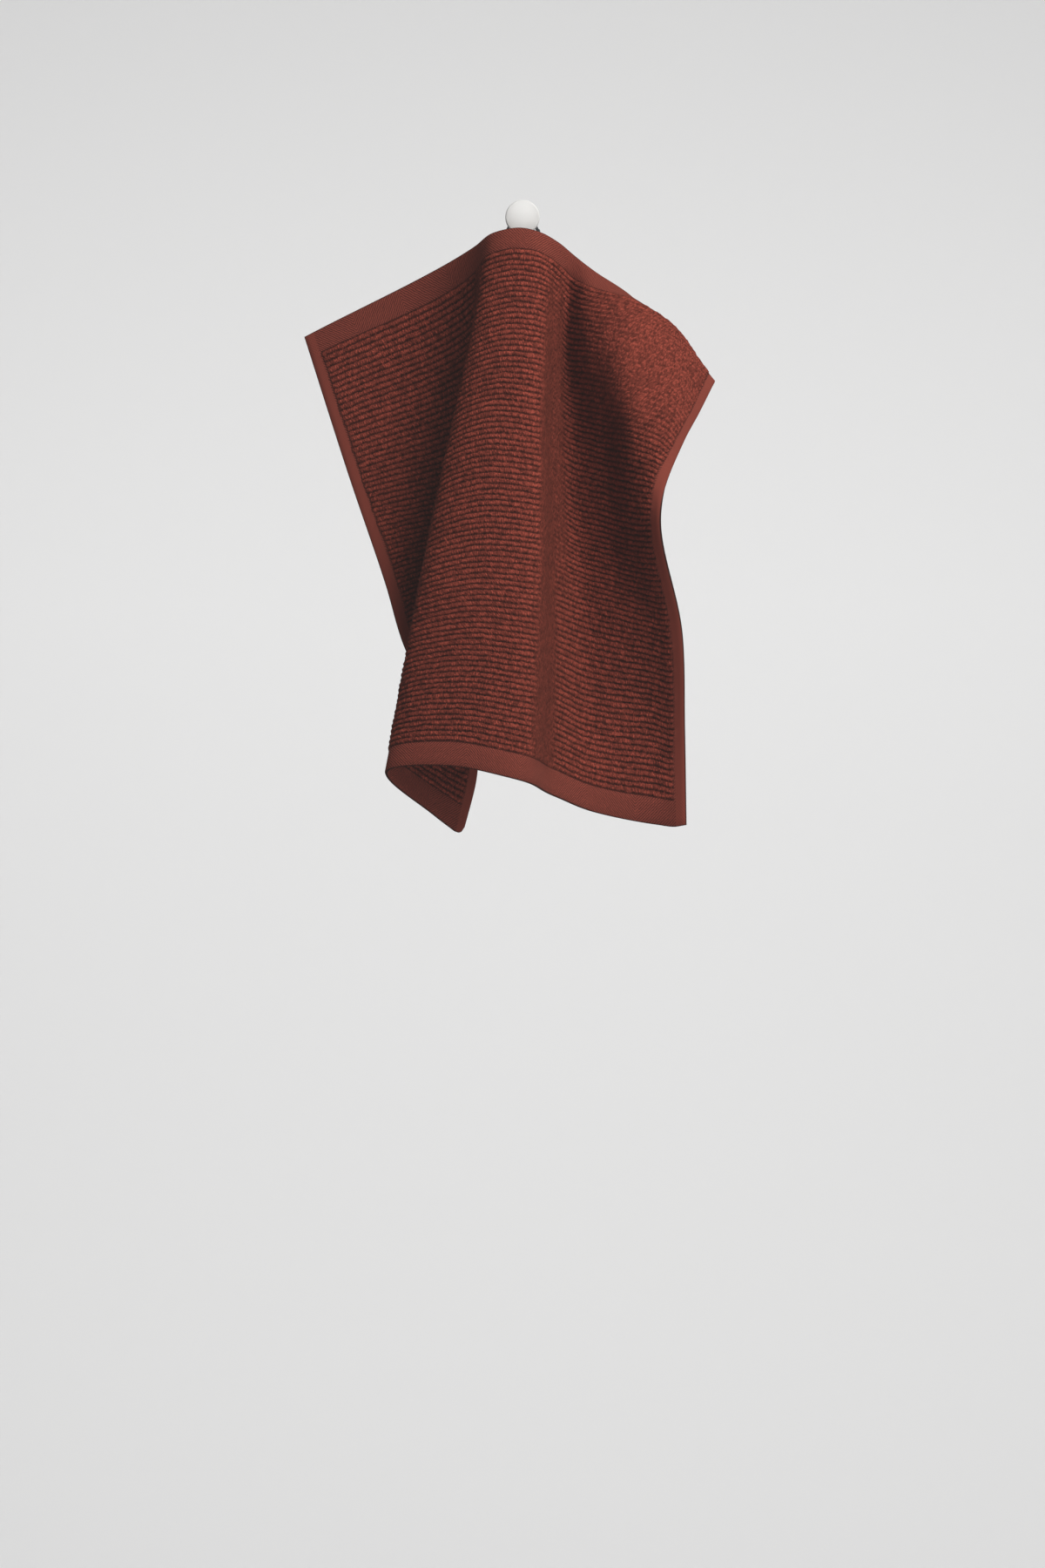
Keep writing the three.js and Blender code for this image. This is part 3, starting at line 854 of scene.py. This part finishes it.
class WASHCLOTH_OT_loop(Operator):
    """Sew the hanging loop to the hem and lay it over the hook's neck"""

    bl_idname = "washcloth.loop"
    bl_label = "Hanging loop"

    def execute(self, context):
        hook = context.scene.washcloth_hook
        path = rounded(loop_path(context.scene.washcloth_cloth, hook), PATH_STEPS)
        bm = bmesh.new()
        ring = bmesh.ops.create_circle(bm, cap_ends=True, segments=CORD_SIDES,
                                       radius=hook.cord_radius)
        cap = bm.faces[:]
        way = (path[1] - path[0]).normalized()
        turn = way.to_track_quat("Z", "Y")
        for vert in ring["verts"]:
            vert.co = path[0] + turn @ vert.co
        for here, ahead in zip(path, path[1:]):
            grown = bmesh.ops.extrude_face_region(bm, geom=cap)
            verts = [v for v in grown["geom"] if isinstance(v, bmesh.types.BMVert)]
            cap = [f for f in grown["geom"] if isinstance(f, bmesh.types.BMFace)]
            bmesh.ops.translate(bm, verts=verts, vec=ahead - here)
            onward = (ahead - here).normalized()
            bend = way.rotation_difference(onward).to_matrix()
            bmesh.ops.rotate(bm, verts=verts, cent=ahead, matrix=bend)
            way = onward
        bmesh.ops.recalc_face_normals(bm, faces=bm.faces[:])
        put_in_scene(bm, "hanging_cord", cord_material(context.scene.washcloth_colours),
                     "hanging_loop")
        return {"FINISHED"}


class WASHCLOTH_OT_hook(Operator):
    """Turn the round hook: foot, neck and disc in one piece"""

    bl_idname = "washcloth.hook"
    bl_label = "Wall hook"

    def execute(self, context):
        hook = context.scene.washcloth_hook
        back = hook.disc_front - hook.disc_thickness
        outline = (
            (0, hook.disc_front),
            (hook.disc_radius, hook.disc_front),
            (hook.disc_radius, back),
            (hook.neck_radius, back),
            (hook.neck_radius, hook.foot_thickness),
            (hook.foot_radius, hook.foot_thickness),
            (hook.foot_radius, 0),
            (0, 0),
        )
        bm = bmesh.new()
        verts = [bm.verts.new((radius, -out, 0)) for radius, out in outline]
        edges = [bm.edges.new(pair) for pair in zip(verts, verts[1:])]
        bmesh.ops.spin(bm, geom=verts + edges, cent=(0, 0, 0), axis=(0, 1, 0),
                       angle=2 * math.pi, steps=HOOK_SIDES, use_merge=True)
        bmesh.ops.remove_doubles(bm, verts=bm.verts[:], dist=SAME_PLACE * MM)
        bmesh.ops.recalc_face_normals(bm, faces=bm.faces[:])
        corners = [
            e for e in bm.edges
            if len(e.link_faces) == 2 and e.calc_face_angle() > CORNER_ANGLE
        ]
        bmesh.ops.bevel(bm, geom=corners, offset=HOOK_BEVEL * MM, offset_type="OFFSET",
                        affect="EDGES", segments=4, profile=0.5, material=-1)
        put_in_scene(bm, "round_hook", paint_material(context.scene.washcloth_colours),
                     "wall_hook")
        return {"FINISHED"}


def soft_light(name, place, target, size, power, colour):
    """A large rectangular lamp that looks at a point."""
    lamp = bpy.data.lights.new(name, "AREA")
    lamp.shape = "RECTANGLE"
    lamp.size = size[0]
    lamp.size_y = size[1]
    lamp.energy = power
    lamp.color = colour
    obj = bpy.data.objects.new(name, lamp)
    obj.location = place
    obj.rotation_euler = (Vector(target) - Vector(place)).to_track_quat("-Z", "Y").to_euler()
    obj.visible_camera = False
    bpy.context.scene.collection.objects.link(obj)


def studio_sweep(colours):
    """The floor and the backdrop, in one sweep."""
    bm = bmesh.new()
    line = [(-FLOOR_HALF, FLOOR_LEVEL), (SWEEP_START, FLOOR_LEVEL)]
    for step in range(1, SWEEP_STEPS + 1):
        angle = math.radians(90 * step / SWEEP_STEPS)
        line.append((SWEEP_START + SWEEP_RADIUS * math.sin(angle),
                     FLOOR_LEVEL + SWEEP_RADIUS * (1 - math.cos(angle))))
    line.append((SWEEP_START + SWEEP_RADIUS, BACKDROP_TOP))
    verts = [bm.verts.new((-FLOOR_HALF, y, z)) for y, z in line]
    edges = [bm.edges.new(pair) for pair in zip(verts, verts[1:])]
    swept = bmesh.ops.extrude_edge_only(bm, edges=edges)
    moved = [v for v in swept["geom"] if isinstance(v, bmesh.types.BMVert)]
    bmesh.ops.translate(bm, verts=moved, vec=(2 * FLOOR_HALF, 0, 0))
    bmesh.ops.recalc_face_normals(bm, faces=bm.faces[:])
    sweep = put_in_scene(bm, "studio_sweep", studio_material(colours), "")


def hook_spot():
    """A narrow beam on the hook's white face."""
    beam = bpy.data.lights.new("hook_spot", "SPOT")
    beam.energy = 5.6
    beam.spot_size = math.radians(SPOT_WIDTH)
    beam.spot_blend = 0.6
    beam.shadow_soft_size = 0.004
    spot = bpy.data.objects.new("hook_spot", beam)
    spot.location = SPOT_PLACE
    aim = Vector(SPOT_TARGET) - spot.location
    spot.rotation_euler = aim.to_track_quat("-Z", "Y").to_euler()
    bpy.context.scene.collection.objects.link(spot)


class WASHCLOTH_OT_studio(Operator):
    """Set the floor, the backdrop, the lamps and the camera"""

    bl_idname = "washcloth.studio"
    bl_label = "Studio"

    def execute(self, context):
        scene = context.scene
        studio_sweep(scene.washcloth_colours)
        soft_light("key_lamp", (1.22, -1.42, 1.56), LAMP_TARGET, (1.4, 1.4), 58.0, WARM)
        soft_light("fill_lamp", (1.5, -2.3, -0.5), LAMP_TARGET, (1.8, 1.8), 6.0, DAYLIGHT)
        # A wide lamp behind the cloth, turned away from it, lights the backdrop only.
        soft_light("backdrop_lamp", (0.0, 0.9, 0.3), (0.0, 4.0, -0.5), (6.0, 1.6), 81.0, WHITE)
        hook_spot()
        world = bpy.data.worlds.new("studio_air")
        world.use_nodes = True
        air = world.node_tree.nodes["Background"]
        air.inputs["Color"].default_value = linear("#f4f5f6")
        air.inputs["Strength"].default_value = AIR_LIGHT
        scene.world = world
        scene.view_settings.view_transform = "Standard"
        # The photograph's blacks are lifted a little, as by stray light in a lens.
        scene.view_settings.use_curve_mapping = True
        scene.view_settings.curve_mapping.black_level = (LIFTED_BLACK,) * 3

        camera = bpy.data.cameras.new("camera")
        camera.lens = CAMERA_LENS
        camera.sensor_width = FILM_WIDTH
        camera.clip_end = 60.0
        eye = bpy.data.objects.new("camera", camera)
        eye.location = CAMERA_PLACE
        eye.rotation_euler = (math.radians(90), 0.0, 0.0)
        scene.collection.objects.link(eye)
        scene.camera = eye
        return {"FINISHED"}


class WASHCLOTH_PT_panel(Panel):
    """Sizes, colours and pieces of the washcloth"""

    bl_label = "Washcloth"
    bl_space_type = "VIEW_3D"
    bl_region_type = "UI"
    bl_category = "Washcloth"

    def draw(self, context):
        scene = context.scene
        for group in (scene.washcloth_cloth, scene.washcloth_hook, scene.washcloth_colours):
            box = self.layout.box()
            for name in group.bl_rna.properties.keys():
                if name not in {"rna_type", "name"}:
                    box.prop(group, name)
        for operator in OPERATORS:
            self.layout.operator(operator.bl_idname)


GROUPS = (
    ("washcloth_cloth", ClothSizes),
    ("washcloth_hook", HookSizes),
    ("washcloth_colours", Colours),
)
OPERATORS = (WASHCLOTH_OT_studio, WASHCLOTH_OT_hook, WASHCLOTH_OT_loop, WASHCLOTH_OT_cloth)


def register():
    for name, group in GROUPS:
        bpy.utils.register_class(group)
        setattr(bpy.types.Scene, name, PointerProperty(type=group))
    for operator in OPERATORS:
        bpy.utils.register_class(operator)
    bpy.utils.register_class(WASHCLOTH_PT_panel)


def unregister():
    bpy.utils.unregister_class(WASHCLOTH_PT_panel)
    for operator in reversed(OPERATORS):
        bpy.utils.unregister_class(operator)
    for name, group in reversed(GROUPS):
        delattr(bpy.types.Scene, name)
        bpy.utils.unregister_class(group)


def main():
    register()
    bpy.ops.washcloth.studio()
    bpy.ops.washcloth.hook()
    bpy.ops.washcloth.loop()
    bpy.ops.washcloth.cloth()


if __name__ == "__main__":
    main()
